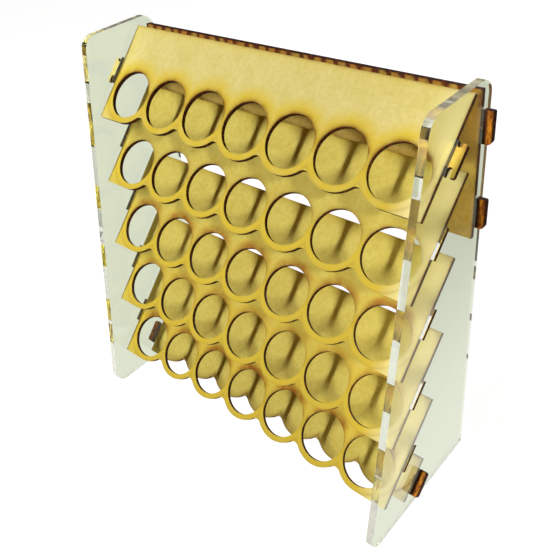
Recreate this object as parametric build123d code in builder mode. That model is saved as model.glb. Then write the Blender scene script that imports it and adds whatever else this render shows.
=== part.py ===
"""Paint bottle rack: leaning ring plates of thin board, slotted into two clear side panels."""

import os
from math import atan2, cos, radians, sin

from build123d import *

os.makedirs("parts", exist_ok=True)

# Sheet stock, in millimetres
board_t = 3.0           # fibreboard of the plates
panel_t = 5.0           # clear acrylic of the side panels

# Bottle holes, and the rings that the lower edge of each plate follows
columns = 7
rows = 5
hole_d = 34.0
hole_web = 2.6          # board left between neighbouring holes
ring_wall = 4.1
cusp_r = 5.0            # rounding of the valley between two rings

# Lean of the plates, and the step from one row up to the next
tilt = 45.0
row_rise = 51.1
row_setback = 9.15
top_row_rise = 49.1     # last step, up to the top row
top_row_setback = 8.4
board_above = 57.3      # hole centre up the slope to the top edge
top_board_above = 49.6  # the same on the top row
rest_lift = 3.1         # scallops of the rest plate above those of the lowest row

# Tabs, measured up the slope from the hole centres
tab_len = 19.2
tab_mid = 16.1
tab_proud = 0.25        # past the outer face of the panel
rest_tab_len = 18.4
rest_tab_proud = 5.9
rest_tab_r = 1.5

# Hooked tabs of the top row
hook_len = 19.5
hook_mid = 14.5
hook_gap = 2.9          # notch between the panel and the head of the hook
hook_head = 2.4
hook_low_notch = 5.4
hook_high_notch = 3.5
hook_tip_drop = 1.0     # upper tip of the head, below the top of the tab
hook_tip_r = 1.1

# Upright plate across the back
back_h = 92.2
back_below_top = 1.1    # its top edge below that of the top row
back_gap = 5.2          # behind the upper edge of the top row
back_tab_len = 19.6
back_tab_spacing = 53.4
back_tab_drop = 0.75    # below the middle of the plate
back_tab_proud = 5.7
back_tab_low_r = 3.0
back_tab_high_r = 1.0

# Side panels
foot = 42.85            # base to the hole centres of the lowest row
toe = 33.4              # front of the base to the same centres
head_margin = 5.1       # top edge above the top row
heel_margin = 3.9       # rear edge behind the back plate
panel_top_depth = 60.1
corner_r = 10.0
heel_r = 1.5

# Fits
shoulder_gap = 0.1      # end of a plate to the inner face of the panel
slot_clear = 0.1        # all round a tab in its slot

# Sizes that follow
run = cos(radians(tilt))
climb = sin(radians(tilt))
hole_r = hole_d / 2
pitch = hole_d + hole_web
ring_r = hole_r + ring_wall
column_x = [(i - (columns - 1) / 2) * pitch for i in range(columns)]
lower_steps = rows - 2  # even steps, below the one up to the top row
plate_end = column_x[-1] + ring_r
inner_x = plate_end + shoulder_gap
outer_x = inner_x + panel_t
slot_across = board_t + 2 * slot_clear
hook_neck = outer_x + hook_gap
hook_end = hook_neck + hook_head

# The rest plate is cut like a board one row further down, short of its rings
rest_centre = row_setback * run + row_rise * climb + rest_lift
rest_mid = (rest_centre - ring_r + board_above) / 2

# The rack stands centred on the origin, with its front towards -Y
top_row_z = foot + lower_steps * row_rise + top_row_rise
top_edge_z = top_row_z + top_board_above * climb
panel_h = top_edge_z + head_margin
top_row_back = lower_steps * row_setback + top_row_setback
top_rear_y = top_row_back + top_board_above * run + board_t * climb
panel_depth = toe + top_rear_y + back_gap + board_t + heel_margin
front_lean = atan2(panel_depth - panel_top_depth, panel_h)
toe_cut = corner_r * ((1 + sin(front_lean)) / cos(front_lean) - 1)
front_y = -(panel_depth + toe_cut) / 2
rear_y = front_y + panel_depth
low_row_y = front_y + toe
back_y = low_row_y + top_rear_y + back_gap
back_top_z = top_edge_z - back_below_top
back_mid_z = back_top_z - back_h / 2
back_tab_places = (-back_tab_spacing / 2 - back_tab_drop, back_tab_spacing / 2 - back_tab_drop)


def row_place(row):
    """Depth and height of a row's hole centres, row 1 at the top; the rest plate is one past the last."""
    if row == 1:
        return low_row_y + top_row_back, top_row_z
    steps = rows - row
    return low_row_y + steps * row_setback, foot + steps * row_rise


def row_plane(row):
    """Front face of a row's plate: x along the rack, y up the slope."""
    depth, height = row_place(row)
    return Plane(origin=(0, depth, height), x_dir=(1, 0, 0), z_dir=(0, -climb, run))


def ringed_board(centre_s, top_s):
    """Board whose lower edge follows the rings, with square ends and a straight top."""
    with Locations((0, (centre_s + top_s) / 2)):
        Rectangle(2 * plate_end, top_s - centre_s)
    with Locations(*[(x, centre_s) for x in column_x]):
        Circle(ring_r)
    end_x = plate_end - ring_r / 2
    with Locations((-end_x, centre_s - ring_r / 2), (end_x, centre_s - ring_r / 2)):
        Rectangle(ring_r, ring_r)
    with Locations((0, (centre_s - ring_r + top_s) / 2)):
        Rectangle(2 * plate_end, top_s - centre_s + ring_r, mode=Mode.INTERSECT)


def tab_block(side, from_x, to_x, mid, length, mode=Mode.ADD):
    """Rectangle on one side of the rack, between two distances from its middle."""
    with Locations((side * (from_x + to_x) / 2, mid)):
        Rectangle(to_x - from_x, length, mode=mode)


def slot(row, mid, length):
    """Slot in a side panel for a leaning tab."""
    depth, height = row_place(row)
    with Locations((depth + mid * run + board_t / 2 * climb, height + mid * climb - board_t / 2 * run)):
        Rectangle(length + 2 * slot_clear, slot_across, rotation=tilt, mode=Mode.SUBTRACT)


# Side panels: one outline, cut for every tab, front edge leaning back
for side, panel_name in ((-1, "left_side_panel"), (1, "right_side_panel")):
    with BuildPart() as side_panel:
        with BuildSketch(Plane(origin=(side * inner_x, 0, 0), x_dir=(0, 1, 0), z_dir=(1, 0, 0))) as outline:
            with BuildLine():
                Polyline(
                    (front_y, 0),
                    (rear_y, 0),
                    (rear_y, panel_h),
                    (rear_y - panel_top_depth, panel_h),
                    close=True,
                )
            make_face()
            fillet(outline.vertices().group_by(Axis.Y)[0].sort_by(Axis.X)[-1], heel_r)
            fillet(outline.vertices().group_by(Axis.Y)[-1], corner_r)
            fillet(outline.vertices().sort_by(Axis.X)[0], corner_r)
            slot(1, hook_mid, hook_len)
            for row in range(2, rows + 1):
                slot(row, tab_mid, tab_len)
            slot(rows + 1, rest_mid, rest_tab_len)
            for shift in back_tab_places:
                with Locations((back_y + board_t / 2, back_mid_z + shift)):
                    Rectangle(slot_across, back_tab_len + 2 * slot_clear, mode=Mode.SUBTRACT)
        extrude(amount=side * panel_t)
    side_panel.part.label = panel_name
    export_step(side_panel.part, f"parts/{panel_name}.step")

# Top ring plate: shorter board, tabs that end in hooks outside the panels
hook_low = hook_mid - hook_len / 2
hook_high = hook_mid + hook_len / 2
with BuildPart() as top_ring_plate:
    with BuildSketch(row_plane(1)) as outline:
        ringed_board(0, top_board_above)
        fillet(outline.vertices().group_by(Axis.Y)[1], cusp_r)
        for side in (-1, 1):
            tab_block(side, plate_end, hook_end, hook_mid, hook_len)
            tab_block(side, hook_neck, hook_end, hook_high, 2 * hook_tip_drop, mode=Mode.SUBTRACT)
            notch_x = side * (outer_x + hook_gap / 2)
            with Locations((notch_x, hook_low)):
                SlotOverall(2 * hook_low_notch, hook_gap, rotation=90, mode=Mode.SUBTRACT)
            with Locations((notch_x, hook_high)):
                SlotOverall(2 * hook_high_notch, hook_gap, rotation=90, mode=Mode.SUBTRACT)
        fillet(outline.vertices().group_by(Axis.X)[0], hook_tip_r)
        fillet(outline.vertices().group_by(Axis.X)[-1], hook_tip_r)
        with Locations(*[(x, 0) for x in column_x]):
            Circle(hole_r, mode=Mode.SUBTRACT)
    extrude(amount=-board_t)
top_ring_plate.part.label = "top_ring_plate"
export_step(top_ring_plate.part, "parts/top_ring_plate.step")

# Ring plates of the lower rows, all alike
for row in range(2, rows + 1):
    with BuildPart() as ring_plate:
        with BuildSketch(row_plane(row)) as outline:
            ringed_board(0, board_above)
            fillet(outline.vertices().group_by(Axis.Y)[1], cusp_r)
            for side in (-1, 1):
                tab_block(side, plate_end, outer_x + tab_proud, tab_mid, tab_len)
            with Locations(*[(x, 0) for x in column_x]):
                Circle(hole_r, mode=Mode.SUBTRACT)
        extrude(amount=-board_t)
    ring_plate.part.label = f"ring_plate_{row}"
    export_step(ring_plate.part, f"parts/ring_plate_{row}.step")

# Rest plate: the bottles of the lowest row stand on it
with BuildPart() as rest_plate:
    with BuildSketch(row_plane(rows + 1)) as outline:
        ringed_board(rest_centre, board_above)
        fillet(outline.vertices().group_by(Axis.Y)[1], cusp_r)
        for side in (-1, 1):
            tab_block(side, plate_end, outer_x + rest_tab_proud, rest_mid, rest_tab_len)
        fillet(outline.vertices().group_by(Axis.X)[0], rest_tab_r)
        fillet(outline.vertices().group_by(Axis.X)[-1], rest_tab_r)
    extrude(amount=-board_t)
rest_plate.part.label = "rest_plate"
export_step(rest_plate.part, "parts/rest_plate.step")

# Back plate: upright, two tabs on each side
with BuildPart() as back_plate:
    with BuildSketch(Plane(origin=(0, back_y, back_mid_z), x_dir=(1, 0, 0), z_dir=(0, -1, 0))) as outline:
        Rectangle(2 * plate_end, back_h)
        for side in (-1, 1):
            for shift in back_tab_places:
                tab_block(side, plate_end, outer_x + back_tab_proud, shift, back_tab_len)
        for end in (0, -1):
            tips = outline.vertices().group_by(Axis.X)[end].sort_by(Axis.Y)
            fillet(tips[1::2], back_tab_high_r)
            tips = outline.vertices().group_by(Axis.X)[end].sort_by(Axis.Y)
            fillet(tips[0::2], back_tab_low_r)
    extrude(amount=-board_t)
back_plate.part.label = "back_plate"
export_step(back_plate.part, "parts/back_plate.step")
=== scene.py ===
"""Paint bottle rack: leaning ring plates of laser-cut fibreboard between two clear acrylic panels."""

from math import cos, pi, radians, sin

import bpy
from mathutils import Matrix, Vector


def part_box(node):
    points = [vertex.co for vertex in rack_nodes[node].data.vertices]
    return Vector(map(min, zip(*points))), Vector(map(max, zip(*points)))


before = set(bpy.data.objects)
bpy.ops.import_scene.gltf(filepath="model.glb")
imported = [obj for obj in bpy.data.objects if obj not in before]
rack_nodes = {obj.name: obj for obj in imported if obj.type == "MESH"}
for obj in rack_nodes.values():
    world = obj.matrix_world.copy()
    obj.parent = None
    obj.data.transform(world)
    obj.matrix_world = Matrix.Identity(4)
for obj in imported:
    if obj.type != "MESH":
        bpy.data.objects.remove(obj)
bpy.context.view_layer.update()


# Side panels
# Two mirror-image sheets of clear acrylic, cut by laser, which leaves their edges polished.
# Every plate of the rack is slotted into them, and they are all that stands on the table.

def empty_finish(name):
    """A new material with nothing in it but its output, and that output."""
    finish = bpy.data.materials.new(name)
    finish.use_nodes = True
    finish.node_tree.nodes.clear()
    return finish, finish.node_tree, finish.node_tree.nodes.new("ShaderNodeOutputMaterial")


def dress(node_name, finish):
    """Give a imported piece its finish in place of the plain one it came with."""
    piece = rack_nodes[node_name]
    piece.data.materials.clear()
    piece.data.materials.append(finish)


def calc(tree, operation, *values, clamp=False):
    """A sum worked out in the finish, from numbers and from other sums."""
    node = tree.nodes.new("ShaderNodeMath")
    node.operation = operation
    node.use_clamp = clamp
    for socket, value in zip(node.inputs, values):
        if isinstance(value, (int, float)):
            socket.default_value = value
        else:
            tree.links.new(value, socket)
    return node.outputs[0]


def rest_of(tree, share):
    """What a share leaves of the whole."""
    return calc(tree, "SUBTRACT", 1.0, share)


def three_parts(tree, vector):
    """The parts of a place or a direction along x, y and z."""
    node = tree.nodes.new("ShaderNodeSeparateXYZ")
    tree.links.new(vector, node.inputs[0])
    return node.outputs


def colour_mix(tree, share, under, over):
    """The colour under, covered by the colour over as far as share says."""
    node = tree.nodes.new("ShaderNodeMix")
    node.data_type = "RGBA"
    for socket, value in ((node.inputs[0], share), (node.inputs[6], under), (node.inputs[7], over)):
        if isinstance(value, (int, float, tuple)):
            socket.default_value = value
        else:
            tree.links.new(value, socket)
    return node.outputs[2]


def surface_mix(tree, share, under, over):
    """The surface under, replaced by the surface over as far as share says."""
    node = tree.nodes.new("ShaderNodeMixShader")
    for socket, value in zip(node.inputs, (share, under, over)):
        tree.links.new(value, socket)
    return node.outputs[0]


acrylic_ior = 1.49
acrylic_tint = (0.93, 0.945, 0.89, 1.0)
top_edge_tint = (0.95, 0.93, 0.74, 1.0)
top_edge_roughness = 0.05
top_edge_haze = 0.4
sheet_shade = (0.96, 0.965, 0.94, 1.0)  # what a face of the sheet lets through of the lamp
edge_shade = (0.2, 0.2, 0.18, 1.0)      # and what a cut edge does
sheet_facing = 0.5
top_facing = 0.75

acrylic, tree, output = empty_finish("clear_acrylic_sheet")
surface = tree.nodes.new("ShaderNodeNewGeometry")
facing_x, _, facing_z = three_parts(tree, surface.outputs["True Normal"])
on_sheet = calc(tree, "GREATER_THAN", calc(tree, "ABSOLUTE", facing_x), sheet_facing)
on_top_edge = calc(tree, "GREATER_THAN", facing_z, top_facing)
sheet = tree.nodes.new("ShaderNodeBsdfPrincipled")
sheet.inputs["IOR"].default_value = acrylic_ior
haze = calc(tree, "MULTIPLY", on_top_edge, top_edge_haze)
tree.links.new(colour_mix(tree, on_top_edge, acrylic_tint, top_edge_tint), sheet.inputs["Base Color"])
tree.links.new(calc(tree, "MULTIPLY", on_top_edge, top_edge_roughness), sheet.inputs["Roughness"])
tree.links.new(rest_of(tree, haze), sheet.inputs["Transmission Weight"])
lamp_way = tree.nodes.new("ShaderNodeBsdfTransparent")
tree.links.new(colour_mix(tree, on_sheet, edge_shade, sheet_shade), lamp_way.inputs["Color"])
to_lamp = tree.nodes.new("ShaderNodeLightPath").outputs["Is Shadow Ray"]
clear_sheet = surface_mix(tree, to_lamp, sheet.outputs[0], lamp_way.outputs[0])
tree.links.new(clear_sheet, output.inputs["Surface"])

for panel in ("left_side_panel", "right_side_panel"):
    dress(panel, acrylic)


# Ring plates
# Thin fibreboard with a row of bottle holes, cut by laser: the cut edges are charred,
# and smoke has stained the face beside them, most of all above each hole.
# Lengths on a board are in millimetres, as in its drawing.

def linear_colour(red, green, blue):
    """A colour as the shader wants it, from the 0 to 255 values seen on screen."""
    shares = [value / 255 for value in (red, green, blue)]
    return tuple(v / 12.92 if v <= 0.04045 else ((v + 0.055) / 1.055) ** 2.4 for v in shares) + (1.0,)


def grain(tree, place, size, seed, detail=3.0, stretch=(1.0, 1.0, 1.0)):
    """Soft random variation from 0 to 1, with features of about the given size."""
    scaled = tree.nodes.new("ShaderNodeMapping")
    scaled.inputs["Scale"].default_value = tuple(1 / (size * s) for s in stretch)
    tree.links.new(place, scaled.inputs["Vector"])
    noise = tree.nodes.new("ShaderNodeTexNoise")
    noise.noise_dimensions = "4D"
    noise.inputs["W"].default_value = seed
    noise.inputs["Scale"].default_value = 1.0
    noise.inputs["Detail"].default_value = detail
    tree.links.new(scaled.outputs[0], noise.inputs["Vector"])
    return noise.outputs["Fac"]


def spread(tree, value, low, high):
    """Stretch a range of values over 0 to 1, smoothly."""
    node = tree.nodes.new("ShaderNodeMapRange")
    node.interpolation_type = "SMOOTHSTEP"
    node.inputs["From Min"].default_value = low
    node.inputs["From Max"].default_value = high
    tree.links.new(value, node.inputs["Value"])
    return node.outputs["Result"]


def fade(tree, distance, reach):
    """What is left of a stain at a distance from the cut that made it."""
    return calc(tree, "EXPONENT", calc(tree, "MULTIPLY", distance, -1 / reach))


def distance_to(tree, value, line):
    """How far a value is from a line, on either side of it."""
    return calc(tree, "ABSOLUTE", calc(tree, "SUBTRACT", value, line))


millimetre = 0.001


def board_place(tree, place, lean):
    """Where a point lies on a board, counted from a place on its front face, and how far it faces front."""
    where = tree.nodes.new("ShaderNodeTexCoord")
    on_board = tree.nodes.new("ShaderNodeMapping")
    on_board.vector_type = "TEXTURE"
    on_board.inputs["Location"].default_value = place
    on_board.inputs["Rotation"].default_value = (radians(lean), 0.0, 0.0)
    on_board.inputs["Scale"].default_value = (millimetre, millimetre, millimetre)
    tree.links.new(where.outputs["Object"], on_board.inputs["Vector"])
    facing = tree.nodes.new("ShaderNodeVectorMath")
    facing.operation = "DOT_PRODUCT"
    facing.inputs[1].default_value = (0.0, -sin(radians(lean)), cos(radians(lean)))
    tree.links.new(where.outputs["Normal"], facing.inputs[0])
    return on_board.outputs[0], facing.outputs["Value"]


column_pitch = 36.6
outer_columns = 3
hole_radius = 17.0
ring_radius = 21.1
far_away = 100.0


def hole_distances(tree, across, up, ring_height):
    """Distance to the nearest hole, to the rim of its ring, and how steeply the point lies above it."""
    above = calc(tree, "SUBTRACT", up, ring_height)
    column = calc(tree, "ROUND", calc(tree, "DIVIDE", across, column_pitch))
    column = calc(tree, "MAXIMUM", calc(tree, "MINIMUM", column, outer_columns), -outer_columns)
    beside = calc(tree, "SUBTRACT", across, calc(tree, "MULTIPLY", column, column_pitch))
    radius = calc(tree, "SQRT", calc(tree, "ADD", calc(tree, "POWER", beside, 2.0),
                                     calc(tree, "POWER", above, 2.0)))
    from_hole = distance_to(tree, radius, hole_radius)
    # A ring has a rim only below the middle of its hole
    no_rim = calc(tree, "MULTIPLY", calc(tree, "GREATER_THAN", above, 0.0), far_away)
    from_rim = calc(tree, "ADD", distance_to(tree, radius, ring_radius), no_rim)
    return from_hole, from_rim, calc(tree, "DIVIDE", above, radius)


smoke_brown = linear_colour(118, 56, 12)
smoke_orange = linear_colour(212, 138, 26)
tab_dark_brown = linear_colour(52, 22, 7)
tab_streak = 2.2
burn_start = (3.6, 4.6)     # how far out on the tab
root_end = (6.2, 7.8)
tip_start = (9.6, 10.6)
left_dark = 0.7


def burnt_tabs(tree, face, spot, across, out, seed):
    """Tabs on the side that lay on the cutting bed: burnt brown, near-black next to the panel and at the tip,
    and mostly near-black on the left.
    """
    streaky = spread(tree, grain(tree, spot, tab_streak, seed, stretch=(1.0, 2.5, 1.0)), 0.35, 0.65)
    burn = colour_mix(tree, streaky, smoke_brown, smoke_orange)
    between = calc(tree, "MULTIPLY", spread(tree, out, *root_end), rest_of(tree, spread(tree, out, *tip_start)))
    burn = colour_mix(tree, between, tab_dark_brown, burn)
    on_left = calc(tree, "MULTIPLY", calc(tree, "LESS_THAN", across, 0.0), left_dark)
    burn = colour_mix(tree, on_left, burn, tab_dark_brown)
    return colour_mix(tree, spread(tree, out, *burn_start), face, burn)


smoke_yellow = linear_colour(222, 196, 58)
smoke_amber = linear_colour(136, 86, 16)
tab_smoke_and_shade = linear_colour(66, 44, 8)
smoke_and_shade_part = (8.0, 24.0)   # heights on the board between which the smoke and painted shade clear
tab_start = (-0.5, 1.0)     # how far out on the tab
slot_end = (4.6, 5.4)
tab_cover = 0.85


def smoked_and_shaded_tabs(tree, face, spot, across, up, out, patchy, seed):
    """Tabs of the other plates: on the right, amber and dark in the slot, smoke stain with painted shade,
    yellow and orange past it.
    """
    streaky = spread(tree, grain(tree, spot, tab_streak, seed, stretch=(2.5, 1.0, 1.0)), 0.4, 0.8)
    stain = colour_mix(tree, streaky, smoke_amber, smoke_yellow)
    # In the slot, darkest low on the tab: smoke stain and painted shade of the slot
    stain = colour_mix(tree, rest_of(tree, spread(tree, up, *smoke_and_shade_part)), stain, tab_smoke_and_shade)
    past_slot = colour_mix(tree, patchy, smoke_yellow, smoke_orange)
    stain = colour_mix(tree, spread(tree, out, *slot_end), stain, past_slot)
    on_right = calc(tree, "MULTIPLY", spread(tree, out, *tab_start), spread(tree, across, -1.0, 1.0))
    return colour_mix(tree, calc(tree, "MULTIPLY", on_right, tab_cover), face, stain)


rear_smoke_and_shadow = linear_colour(112, 66, 20)
bar_burn = linear_colour(92, 42, 12)
bar_scorch = linear_colour(176, 104, 24)
bar_spacing = 9.0
bar_wander = 9.0
bar_ragged = 1.2
bar_width = (0.3, 0.95)
bar_reach = 9.0
bar_strength = 1.2
scorch_reach = 6.0
shadowed_half = (0.0, 8.0)
shadowed_half_share = 0.45


def bar_marks(tree, face, across, up, from_top, patches, patchy, mottle):
    """Upper half darkened as a painted shadow of the top plate, with the burnt marks of the slats of the bed
    along the top edge.
    """
    # Painted shadow of the top plate: the upper half takes the rear brown
    painted_shadow = calc(tree, "MULTIPLY", spread(tree, up, *shadowed_half), shadowed_half_share)
    face = colour_mix(tree, painted_shadow, face, rear_smoke_and_shadow)
    wandering = calc(tree, "ADD", across, calc(tree, "MULTIPLY", patches, bar_wander))
    wave = calc(tree, "ABSOLUTE", calc(tree, "SINE", calc(tree, "MULTIPLY", wandering, pi / bar_spacing)))
    ragged = calc(tree, "MULTIPLY", calc(tree, "SUBTRACT", mottle, 0.5), bar_ragged)
    burns = rest_of(tree, spread(tree, calc(tree, "ADD", wave, ragged), *bar_width))
    burns = calc(tree, "MULTIPLY", burns, fade(tree, from_top, bar_reach))
    scorched = calc(tree, "MULTIPLY", fade(tree, from_top, scorch_reach), patchy)
    face = colour_mix(tree, scorched, face, bar_scorch)
    return colour_mix(tree, calc(tree, "MULTIPLY", burns, bar_strength, clamp=True), face, bar_burn)


plate_half_width = 130.9
# Paler board for the right ends of the plates: painted light
lit_end_board = linear_colour(232, 222, 154)
smoke_rust = linear_colour(160, 80, 15)
char_black = linear_colour(46, 18, 6)
char_brown = linear_colour(122, 60, 20)
cut_facing = 0.7
blotch_size, patch_size, mottle_size, fibre_size, char_size = 16.0, 8.0, 3.5, 1.3, 1.2
fleck_share = 0.35
straight_smoke = ((2.5, 0.6), (0.9, 0.5), (0.3, 0.5))  # reach and strength: yellow, amber, brown
halo_width = (2.0, 12.5)
halo_wiped = (-0.1, 0.6)    # steepness above the hole at which the halo can be wiped away
ring_climb = (-0.55, 0.65)  # steepness over which the smoke of a hole thickens
ring_least, ring_more = 0.1, 0.9
amber_reach, brown_reach, rim_reach = 1.4, 0.8, 0.9
ring_rim, open_rim = 0.3, 0.9
lit_end_span = (110.0, 127.0)
lit_end_share = 0.85
rust_width = (1.5, 7.0)
rust_climb = (0.45, 0.95)
rear_share = 0.75
board_gloss = 0.25
board_roughness, fibre_roughness = 0.62, 0.25
tooth_strength, tooth_depth = 0.2, 0.0002
no_holes = (0.0, 0.0, 0.0)


def board_finish(name, place, lean, seed, top_edge, bare, fleck, ring_height=None, smoke=no_holes,
                 bed_face=False, bars=False):
    """Laser-cut fibreboard, with heights measured up the board from a place on its front face.

    The smoke is how much there is round the holes: a yellow halo above, an amber ring, and rust.
    With bed_face, the front is the side that lay on the cutting bed, where the tabs are burnt.
    With bars, the slats of the bed have left burnt marks along the top edge too, and the upper half gets a
    painted shadow.
    """
    halo_share, ring_share, rust_share = smoke
    finish, tree, output = empty_finish(name)
    spot, facing = board_place(tree, place, lean)
    across, up, _ = three_parts(tree, spot)
    is_cut = calc(tree, "LESS_THAN", calc(tree, "ABSOLUTE", facing), cut_facing)
    is_rear = calc(tree, "LESS_THAN", facing, 0.0)
    out = calc(tree, "SUBTRACT", calc(tree, "ABSOLUTE", across), plate_half_width)
    from_top = distance_to(tree, up, top_edge)
    from_straight = calc(tree, "MINIMUM", from_top, calc(tree, "ABSOLUTE", out))

    # Board face: pale fibres, flecked
    blotches = grain(tree, spot, blotch_size, seed, detail=2.0)
    fibres = grain(tree, spot, fibre_size, seed + 1.0, detail=4.0)
    patches = grain(tree, spot, patch_size, seed + 2.0)
    mottle = grain(tree, spot, mottle_size, seed + 5.0)
    flecks = calc(tree, "ADD", spread(tree, blotches, 0.35, 0.7), spread(tree, fibres, 0.4, 0.7))
    flecks = calc(tree, "ADD", flecks, spread(tree, mottle, 0.35, 0.65))
    face = colour_mix(tree, calc(tree, "MULTIPLY", flecks, fleck_share), bare, fleck)

    # Smoke along the straight cuts, round the holes and along the scallops; painted light on the right ends
    uneven = calc(tree, "ADD", calc(tree, "MULTIPLY", patches, 1.1), 0.35)
    patchy = spread(tree, patches, 0.3, 0.7)
    yellow, amber, brown = [calc(tree, "MULTIPLY", fade(tree, from_straight, reach), strength)
                            for reach, strength in straight_smoke]
    if ring_height is not None:
        from_hole, from_rim, climb = hole_distances(tree, across, up, ring_height)
        rim_smoke = ring_rim if ring_share else open_rim
        amber = calc(tree, "ADD", amber, calc(tree, "MULTIPLY", fade(tree, from_rim, rim_reach), rim_smoke))
    if ring_share:
        halo = rest_of(tree, spread(tree, from_hole, *halo_width))
        wiped = calc(tree, "MULTIPLY", spread(tree, climb, *halo_wiped), 1.0 - halo_share)
        yellow = calc(tree, "ADD", yellow, calc(tree, "MULTIPLY", halo, rest_of(tree, wiped)))
        ring_smoke = calc(tree, "MULTIPLY", spread(tree, climb, *ring_climb), ring_more)
        ring_smoke = calc(tree, "MULTIPLY", calc(tree, "ADD", ring_smoke, ring_least), ring_share)
        amber_ring = calc(tree, "MULTIPLY", fade(tree, from_hole, amber_reach), ring_smoke)
        brown_ring = calc(tree, "MULTIPLY", fade(tree, from_hole, brown_reach), ring_smoke)
        amber = calc(tree, "ADD", amber, amber_ring)
        brown = calc(tree, "ADD", brown, brown_ring)
    face = colour_mix(tree, calc(tree, "MULTIPLY", yellow, uneven, clamp=True), face, smoke_yellow)
    if ring_height is not None:
        # Paler towards the right end: painted light, for light that reaches the right ends of the plates
        # through the panel
        lit_end_mask = calc(tree, "MULTIPLY", spread(tree, across, *lit_end_span), lit_end_share)
        face = colour_mix(tree, lit_end_mask, face, lit_end_board)
    if rust_share:
        rust = calc(tree, "MULTIPLY", rest_of(tree, spread(tree, from_hole, *rust_width)), rust_share)
        rust = calc(tree, "MULTIPLY", rust, spread(tree, climb, *rust_climb))
        rust = calc(tree, "MULTIPLY", rust, calc(tree, "ADD", patchy, 0.5), clamp=True)
        face = colour_mix(tree, rust, face, smoke_rust)
    face = colour_mix(tree, calc(tree, "MULTIPLY", amber, uneven, clamp=True), face, smoke_amber)
    face = colour_mix(tree, calc(tree, "MULTIPLY", brown, patchy, clamp=True), face, smoke_brown)

    # Burns and stains of the handling in the laser cutter
    if bars:
        face = bar_marks(tree, face, across, up, from_top, patches, patchy, mottle)
    if bed_face:
        face = burnt_tabs(tree, face, spot, across, out, seed + 4.0)
    else:
        face = smoked_and_shaded_tabs(tree, face, spot, across, up, out, patchy, seed + 4.0)
    face = colour_mix(tree, calc(tree, "MULTIPLY", is_rear, rear_share), face, rear_smoke_and_shadow)

    # Cut edge: char, streaked through the thickness by the beam
    streaks = grain(tree, spot, char_size, seed + 3.0, detail=4.0, stretch=(1.0, 1.0, 6.0))
    edge = colour_mix(tree, spread(tree, streaks, 0.45, 0.75), char_black, char_brown)

    board = tree.nodes.new("ShaderNodeBsdfPrincipled")
    tree.links.new(colour_mix(tree, is_cut, face, edge), board.inputs["Base Color"])
    board.inputs["Specular IOR Level"].default_value = board_gloss
    rough = calc(tree, "ADD", board_roughness, calc(tree, "MULTIPLY", fibres, fibre_roughness))
    tree.links.new(rough, board.inputs["Roughness"])
    tooth = tree.nodes.new("ShaderNodeBump")
    tooth.inputs["Strength"].default_value = tooth_strength
    tooth.inputs["Distance"].default_value = tooth_depth
    tree.links.new(calc(tree, "ADD", fibres, calc(tree, "MULTIPLY", streaks, is_cut)), tooth.inputs["Height"])
    tree.links.new(tooth.outputs[0], board.inputs["Normal"])
    tree.links.new(board.outputs[0], output.inputs["Surface"])
    return finish


plate_lean = 45.0
lowest_row = 5
lowest_depth, lowest_height = -0.027, 0.04285
row_setback, row_rise = 0.00915, 0.0511
lower_top_edge = 57.3
# A darker, more yellow copy of the top plate's board for the lower rows and the rest plate: painted shade, for
# their place in the shade between plates
shaded_golden_board = linear_colour(213, 201, 102)
shaded_golden_fleck = linear_colour(196, 175, 72)
row_smoke = {2: (0.15, 0.5, 0.0), 3: (0.5, 0.7, 0.55), 4: (0.7, 0.5, 0.25), 5: (0.9, 0.7, 0.65)}


def row_place(row):
    """Middle of a row on the front face of its plate; the rest plate is one row past the lowest."""
    steps = lowest_row - row
    return 0.0, lowest_depth + steps * row_setback, lowest_height + steps * row_rise


for row in (5, 4, 3, 2):
    ring_board = board_finish(f"ring_plate_board_{row}", row_place(row), plate_lean, seed=7.0 * row,
                              top_edge=lower_top_edge, bare=shaded_golden_board, fleck=shaded_golden_fleck,
                              ring_height=0.0, smoke=row_smoke[row])
    dress(f"ring_plate_{row}", ring_board)


# Rest plate
# The same board one step further down, with scallops but no holes: the lowest bottles stand on it.
# Its tabs are longer than those of the ring plates and stand out of the panels.

rest_scallop_height = 45.74
rest_board = board_finish("rest_plate_board", row_place(lowest_row + 1), plate_lean, seed=50.0,
                          top_edge=lower_top_edge, bare=shaded_golden_board, fleck=shaded_golden_fleck,
                          ring_height=rest_scallop_height, bed_face=True)
dress("rest_plate", rest_board)


# Back plate
# An upright board across the top of the rear, held by two long tabs on each side.
# Its front is the side that lay on the cutting bed, so it has the burnt marks of the slats; its upper half has
# a painted shadow of the top plate.

back_low, back_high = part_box("back_plate")
back_place = (0.0, back_low.y, (back_low.z + back_high.z) / 2)
back_half_height = (back_high.z - back_low.z) / 2 / millimetre
upright = 90.0
# A paler board than that of the lower rows: painted light, for the fill the back plate lacks in the shade of
# the top plate
lit_back_board = linear_colour(232, 208, 112)
lit_back_fleck = linear_colour(202, 168, 76)
back_board = board_finish("back_plate_board", back_place, upright, seed=60.0,
                          top_edge=back_half_height, bare=lit_back_board, fleck=lit_back_fleck,
                          bed_face=True, bars=True)
dress("back_plate", back_board)


# Top ring plate
# The shorter board of the top row, paler than the others and left plain above its holes.
# Its tabs end in hooks outside the panels, which keep the panels from spreading.

top_place = (0.0, 0.00885, 0.24525)
top_row_edge = 49.6
full_smoke = (1.0, 1.0, 0.0)
pale_board = linear_colour(227, 214, 141)
pale_fleck = linear_colour(212, 198, 104)
top_board = board_finish("top_ring_plate_board", top_place, plate_lean, seed=3.0,
                         top_edge=top_row_edge, bare=pale_board, fleck=pale_fleck,
                         ring_height=0.0, smoke=full_smoke)
dress("top_ring_plate", top_board)


# Floor and backdrop
# A plain white table that runs on past the view. It looks white to the eye and keeps the shadow
# of the rack, but throws back only a little warm light, and looks greenish through the clear sheets.

def ray_facts(tree):
    """What is known of the ray that asks for a colour."""
    return tree.nodes.new("ShaderNodeLightPath").outputs


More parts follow.
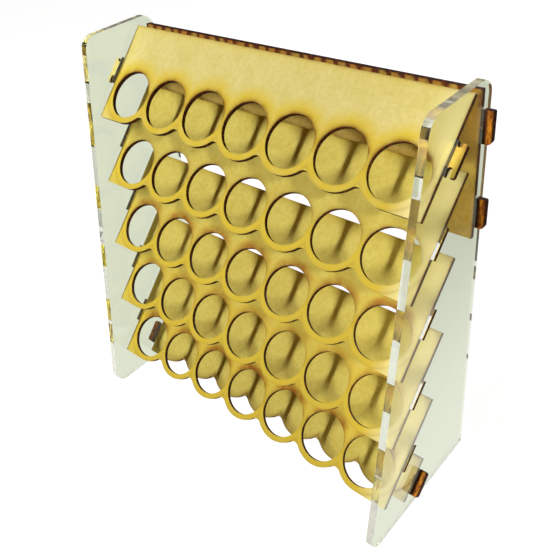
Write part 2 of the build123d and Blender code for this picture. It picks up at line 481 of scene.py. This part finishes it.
def seen_directly(tree):
    """1 for what the camera sees by itself, 0 for other rays."""
    return ray_facts(tree)["Is Camera Ray"]


once, twice = 0.5, 1.5      # a count above these is at least one, at least two


def seen_through_sheet(tree):
    """1 for what is seen straight through the clear sheet, 0 for other rays."""
    ray = ray_facts(tree)
    unmirrored = calc(tree, "LESS_THAN", ray["Glossy Depth"], once)
    return calc(tree, "MULTIPLY", ray["Is Transmission Ray"], unmirrored)


def seen_mirrored(tree):
    """1 for what is seen in a reflection, also one inside the clear sheet, 0 for other rays."""
    ray = ray_facts(tree)
    mirrored = calc(tree, "GREATER_THAN", ray["Glossy Depth"], once)
    sharp = calc(tree, "MAXIMUM", ray["Is Glossy Ray"], ray["Is Transmission Ray"])
    return calc(tree, "MULTIPLY", mirrored, sharp)


def from_sheet(tree):
    """1 for rays that have been inside the clear sheet, 0 for other rays."""
    return calc(tree, "GREATER_THAN", ray_facts(tree)["Transmission Depth"], once)


dim_room = (0.03, 0.025, 0.02, 1.0)
sheet_depth = (0.62, 0.64, 0.48, 1.0)


def dark_in_mirror(tree):
    """Colour of the dark room in a reflection: olive after a long way through the sheet."""
    long_way = calc(tree, "GREATER_THAN", ray_facts(tree)["Glossy Depth"], twice)
    return colour_mix(tree, calc(tree, "MULTIPLY", long_way, from_sheet(tree)), dim_room, sheet_depth)


white = (1.0, 1.0, 1.0, 1.0)


def shine(tree, kind, colour, strength=1.0):
    """Light of its own, Emission on a surface or Background all round."""
    node = tree.nodes.new("ShaderNode" + kind)
    node.inputs["Strength"].default_value = strength
    if isinstance(colour, tuple):
        node.inputs["Color"].default_value = colour
    else:
        tree.links.new(colour, node.inputs["Color"])
    return node.outputs[0]


def paper(tree, colour):
    """A matt surface of one colour."""
    node = tree.nodes.new("ShaderNodeBsdfDiffuse")
    node.inputs["Color"].default_value = colour
    return node.outputs[0]


table_size = 8.0
table_bounce = (0.3, 0.12, 0.04, 1.0)
table_grey = (0.25, 0.25, 0.25, 1.0)
table_glow = 0.94
table_through_sheet = (0.757, 0.798, 0.67, 1.0)
table_in_mirror = (0.92, 0.93, 0.84, 1.0)
paper_front = -0.15         # where the lit part of the table starts, in front of the rack
paper_end = (0.14, 0.3)     # and over which it ends, on the right

bpy.ops.mesh.primitive_plane_add(size=table_size, location=(0.0, 0.0, 0.0))
floor = bpy.context.object
floor.name = "floor"
white_table, tree, output = empty_finish("white_table")
seen_table = tree.nodes.new("ShaderNodeAddShader")
tree.links.new(shine(tree, "Emission", white, table_glow), seen_table.inputs[0])
tree.links.new(paper(tree, table_grey), seen_table.inputs[1])
table_x, table_y, _ = three_parts(tree, tree.nodes.new("ShaderNodeTexCoord").outputs["Object"])
behind = calc(tree, "GREATER_THAN", table_y, paper_front)
on_paper = calc(tree, "MULTIPLY", behind, rest_of(tree, spread(tree, table_x, *paper_end)))
mirror_colour = colour_mix(tree, on_paper, dark_in_mirror(tree), table_in_mirror)
table_top = surface_mix(tree, seen_directly(tree), paper(tree, table_bounce), seen_table.outputs[0])
table_top = surface_mix(tree, seen_through_sheet(tree), table_top, shine(tree, "Emission", table_through_sheet))
table_top = surface_mix(tree, seen_mirrored(tree), table_top, shine(tree, "Emission", mirror_colour))
tree.links.new(table_top, output.inputs["Surface"])
floor.data.materials.append(white_table)


# Studio room
# White all round to the eye, but nearly dark as a lamp, with a faint warm light.
# In the mirror of the clear sheets it shows a pale backdrop behind, and above a bright band: a painted
# reflection of the strip lamp.

room_warmth = (1.0, 0.38, 0.08, 1.0)
room_strength = 0.045
glint_band = (0.555, 0.72)   # heights of the painted lamp reflection, as parts of a direction

studio = bpy.data.worlds.new("studio")
bpy.context.scene.world = studio
studio.use_nodes = True
tree = studio.node_tree
tree.nodes.clear()
output = tree.nodes.new("ShaderNodeOutputWorld")
_, heading_y, heading_z = three_parts(tree, tree.nodes.new("ShaderNodeTexCoord").outputs["Generated"])
backdrop = calc(tree, "MULTIPLY", calc(tree, "GREATER_THAN", heading_y, 0.0), from_sheet(tree))
over_lamp_foot = calc(tree, "GREATER_THAN", heading_z, glint_band[0])
under_lamp_head = calc(tree, "LESS_THAN", heading_z, glint_band[1])
# Painted reflection of the strip lamp: a bright band round the room, seen only from inside the sheet
painted_lamp_reflection = calc(tree, "MULTIPLY", calc(tree, "MULTIPLY", over_lamp_foot, under_lamp_head), from_sheet(tree))
mirror_colour = colour_mix(tree, backdrop, dark_in_mirror(tree), table_through_sheet)
mirror_colour = colour_mix(tree, painted_lamp_reflection, mirror_colour, white)
room = shine(tree, "Background", room_warmth, room_strength)
room = surface_mix(tree, seen_directly(tree), room, shine(tree, "Background", white))
room = surface_mix(tree, seen_through_sheet(tree), room, shine(tree, "Background", table_through_sheet))
room = surface_mix(tree, seen_mirrored(tree), room, shine(tree, "Background", mirror_colour))
tree.links.new(room, output.inputs["Surface"])


# Main light
# One long strip lamp in front of the rack, to the left of the camera.
# It leans with the plates and shines square on them, so that each web between holes throws a streak.

def hang(lamp_data, place):
    """Hang a lamp in the studio, and return it."""
    lamp = bpy.data.objects.new(lamp_data.name, lamp_data)
    bpy.context.scene.collection.objects.link(lamp)
    lamp.location = place
    return lamp


strip_data = bpy.data.lights.new("strip_lamp", "AREA")
strip_data.shape = "RECTANGLE"
strip_data.size = 0.035
strip_data.size_y = 0.7
strip_data.energy = 13.6
strip_lamp = hang(strip_data, (-0.195, -0.8785, 0.9565))
strip_lamp.rotation_euler = (radians(plate_lean), 0.0, 0.0)


# Side fill
# A weak warm spot, low and far out on the right.
# It reaches in between the plates as far as the back plate.

def aim(lamp, target):
    """Turn a lamp towards a place."""
    lamp.rotation_euler = (Vector(target) - lamp.location).to_track_quat("-Z", "Y").to_euler()


fill_data = bpy.data.lights.new("side_fill", "SPOT")
fill_data.energy = 18.0
fill_data.color = (1.0, 0.84, 0.56)
fill_data.spot_size = radians(24.0)
fill_data.spot_blend = 1.0
fill_data.shadow_soft_size = 0.06
aim(hang(fill_data, (1.2, -0.4, 0.05)), (0.06, 0.045, 0.2))


# Rear light
# A wide soft panel behind the rack, out of sight of the front faces.
# It shows the smoked rear of the plates when the rack is turned round.

rear_data = bpy.data.lights.new("rear_panel", "AREA")
rear_data.shape = "SQUARE"
rear_data.size = 0.6
rear_data.energy = 6.0
aim(hang(rear_data, (0.1, 1.1, 0.5)), (0.0, 0.0, 0.15))


# Camera
# Placed as the photograph was taken: close, from the right and above, the picture turned a little.
# Light may pass the clear sheets many times on its way to it.

view_turn = radians(-45.23)
view_drop = radians(36.84)
view_roll = radians(-7.265)
view_target = Vector((0.047285, -0.027, 0.173732))
view_distance = 0.422922
most_bounces = 32
ahead = Vector((sin(view_turn) * cos(view_drop), cos(view_turn) * cos(view_drop), -sin(view_drop)))
level_right = Vector((cos(view_turn), -sin(view_turn), 0.0))
level_up = level_right.cross(ahead)
right = level_right * cos(view_roll) + level_up * sin(view_roll)
up = level_up * cos(view_roll) - level_right * sin(view_roll)
camera_data = bpy.data.cameras.new("camera")
camera_data.sensor_width = 36.0
camera_data.lens = 45.445
camera = bpy.data.objects.new("camera", camera_data)
bpy.context.scene.collection.objects.link(camera)
camera.matrix_world = Matrix((right, up, -ahead)).transposed().to_4x4()
camera.location = view_target - ahead * view_distance
bpy.context.scene.camera = camera

bpy.context.scene.view_settings.view_transform = "Standard"
bpy.context.scene.cycles.max_bounces = most_bounces
bpy.context.scene.cycles.glossy_bounces = most_bounces
bpy.context.scene.cycles.transmission_bounces = most_bounces
